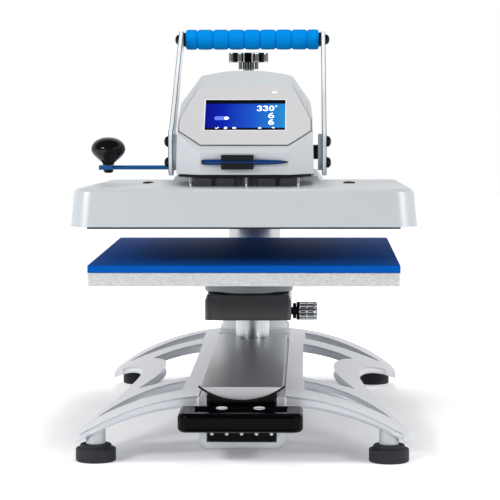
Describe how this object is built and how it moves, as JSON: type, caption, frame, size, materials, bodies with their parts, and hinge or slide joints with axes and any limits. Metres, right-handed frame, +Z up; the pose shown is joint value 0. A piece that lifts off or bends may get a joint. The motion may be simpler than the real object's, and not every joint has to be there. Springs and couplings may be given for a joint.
{
  "type": "swing-away heat press",
  "caption": "Swing-away heat press with pull-out lower platen, sloping touch screen head, long handle with foam grip, star pressure knob and splayed leg base.",
  "frame": {"origin": "on the surface the feet stand on, straight under the middle of the platens", "axes": "+Z up, +Y from the operator towards the column at the back, +X to the operator's right"},
  "size_m": [0.4488, 0.834, 0.5565],
  "materials": {
    "silver_paint": "satin",
    "base_paint": "satin",
    "black_paint": "gloss",
    "clamp_paint": "satin",
    "hot_coating": "black non-stick coating",
    "brushed_steel": "brushed",
    "bright_steel": "polished",
    "chrome": "polished",
    "bare_aluminium": "satin",
    "column_paint": "satin",
    "bronze": "machined",
    "foot_rubber": "matte",
    "silicone": "matte",
    "blue_foam": "matte",
    "black_plastic": "gloss",
    "bezel_plastic": "matte",
    "pen_plastic": "gloss",
    "rod_plastic": "gloss",
    "screen_glass": "gloss",
    "light_plastic": "gloss",
    "board": "matte",
    "mica": "matte",
    "wool": "matte",
    "relay_plastic": "matte",
    "spring_steel": "oiled"
  },
  "bodies": {
    "base": {"base_spine": "base_paint", "base_leg_left": "base_paint", "base_leg_right": "base_paint", "foot_posts": "bright_steel", "slide_rails": "bright_steel", "column_base": "column_paint", "column_post": "bare_aluminium"},
    "foot_front_left": {"foot_front_left": "foot_rubber"},
    "foot_front_right": {"foot_front_right": "foot_rubber"},
    "foot_rear_left": {"foot_rear_left": "foot_rubber"},
    "foot_rear_right": {"foot_rear_right": "foot_rubber"},
    "drawer": {"slide_plate": "brushed_steel", "slide_bearings": "bare_aluminium", "drawer_handle": "black_paint", "pedestal_post": "clamp_paint", "clamp_block": "clamp_paint", "adapter_disc": "bare_aluminium", "lower_platen": "bare_aluminium", "silicone_pad": "silicone"},
    "lock": {"lock_stem": "bright_steel", "lock_knob": "chrome"},
    "head": {"swing_arm": "silver_paint", "column_bushes": "bronze", "column_cap": "black_plastic", "head_frame": "silver_paint", "bottom_plate": "silver_paint", "housing_shell": "silver_paint", "bezel": "bezel_plastic", "touch_screen": "screen_glass", "status_light": "light_plastic", "control_board": "board", "power_relay": "relay_plastic", "stylus_holder": "silver_paint", "guide_bushes": "bronze", "pressure_block": "brushed_steel", "power_inlet": "black_plastic", "swing_rod": "rod_plastic", "lift_springs": "spring_steel"},
    "stylus": {"stylus": "pen_plastic"},
    "swing_knob": {"swing_knob": "black_plastic"},
    "power_switch": {"power_switch": "black_plastic"},
    "breaker_button": {"breaker_button": "black_plastic"},
    "pressure": {"pressure_knob": "black_plastic", "pressure_screw": "bright_steel"},
    "handle": {"cross_shaft": "bright_steel", "press_cams": "brushed_steel", "crank_plates": "brushed_steel", "handle_bar_left": "silver_paint", "handle_bar_right": "silver_paint", "grip_tube": "bright_steel", "foam_grip": "blue_foam", "handle_bolts": "bright_steel"},
    "press": {"press_yoke": "brushed_steel", "press_shaft": "bright_steel", "guide_rods": "bright_steel", "heat_platen": "hot_coating", "heating_element": "mica", "insulation": "wool", "platen_cover": "silver_paint", "cover_screws": "black_plastic"}
  },
  "joints": [
    {"name": "foot_front_left_turn", "type": "hinge", "parent": "base", "child": "foot_front_left", "pos_m": [-0.186, -0.329, 0], "axis": [0, 0, 1], "continuous": true},
    {"name": "foot_front_right_turn", "type": "hinge", "parent": "base", "child": "foot_front_right", "pos_m": [0.186, -0.329, 0], "axis": [0, 0, 1], "continuous": true},
    {"name": "foot_rear_left_turn", "type": "hinge", "parent": "base", "child": "foot_rear_left", "pos_m": [-0.186, 0.3915, 0], "axis": [0, 0, 1], "continuous": true},
    {"name": "foot_rear_right_turn", "type": "hinge", "parent": "base", "child": "foot_rear_right", "pos_m": [0.186, 0.3915, 0], "axis": [0, 0, 1], "continuous": true},
    {"name": "drawer_slide", "type": "slide", "parent": "base", "child": "drawer", "axis": [0, -1, 0], "range_m": [0, 0.28]},
    {"name": "lock_turn", "type": "hinge", "parent": "drawer", "child": "lock", "pos_m": [0.06, 0, 0.1566], "axis": [1, 0, 0], "continuous": true},
    {"name": "head_swing", "type": "hinge", "parent": "base", "child": "head", "pos_m": [0, 0.33, 0.4], "axis": [0, 0, 1], "range_deg": [-95, 0]},
    {"name": "handle_press", "type": "hinge", "parent": "head", "child": "handle", "pos_m": [0, -0.054, 0.3825], "axis": [1, 0, 0], "range_deg": [0, 130]},
    {"name": "press_lift", "type": "slide", "parent": "head", "child": "press", "axis": [0, 0, -1], "range_m": [0, 0.0472], "stiffness_N_per_m": 5000, "springref_m": -0.07, "deforming": ["lift_springs"]},
    {"name": "pressure_turn", "type": "hinge", "parent": "head", "child": "pressure", "pos_m": [0, 0, 0.506], "axis": [0, 0, 1], "continuous": true},
    {"name": "stylus_pull", "type": "slide", "parent": "head", "child": "stylus", "axis": [1, 0, 0], "range_m": [0, 0.09]},
    {"name": "swing_knob_turn", "type": "hinge", "parent": "head", "child": "swing_knob", "pos_m": [-0.198, 0.004, 0.38], "axis": [0, 0, 1], "continuous": true},
    {"name": "switch_rock", "type": "hinge", "parent": "head", "child": "power_switch", "pos_m": [0.012, 0.1035, 0.463], "axis": [1, 0, 0], "range_deg": [0, 14]},
    {"name": "breaker_push", "type": "slide", "parent": "head", "child": "breaker_button", "axis": [0, -1, 0], "range_m": [0, 0.003], "stiffness_N_per_m": 300, "springref_m": -0.001}
  ],
  "couplings": [
    {"joint": "press_lift", "follows": "handle_press", "m_per_rad": 0.020802}
  ]
}
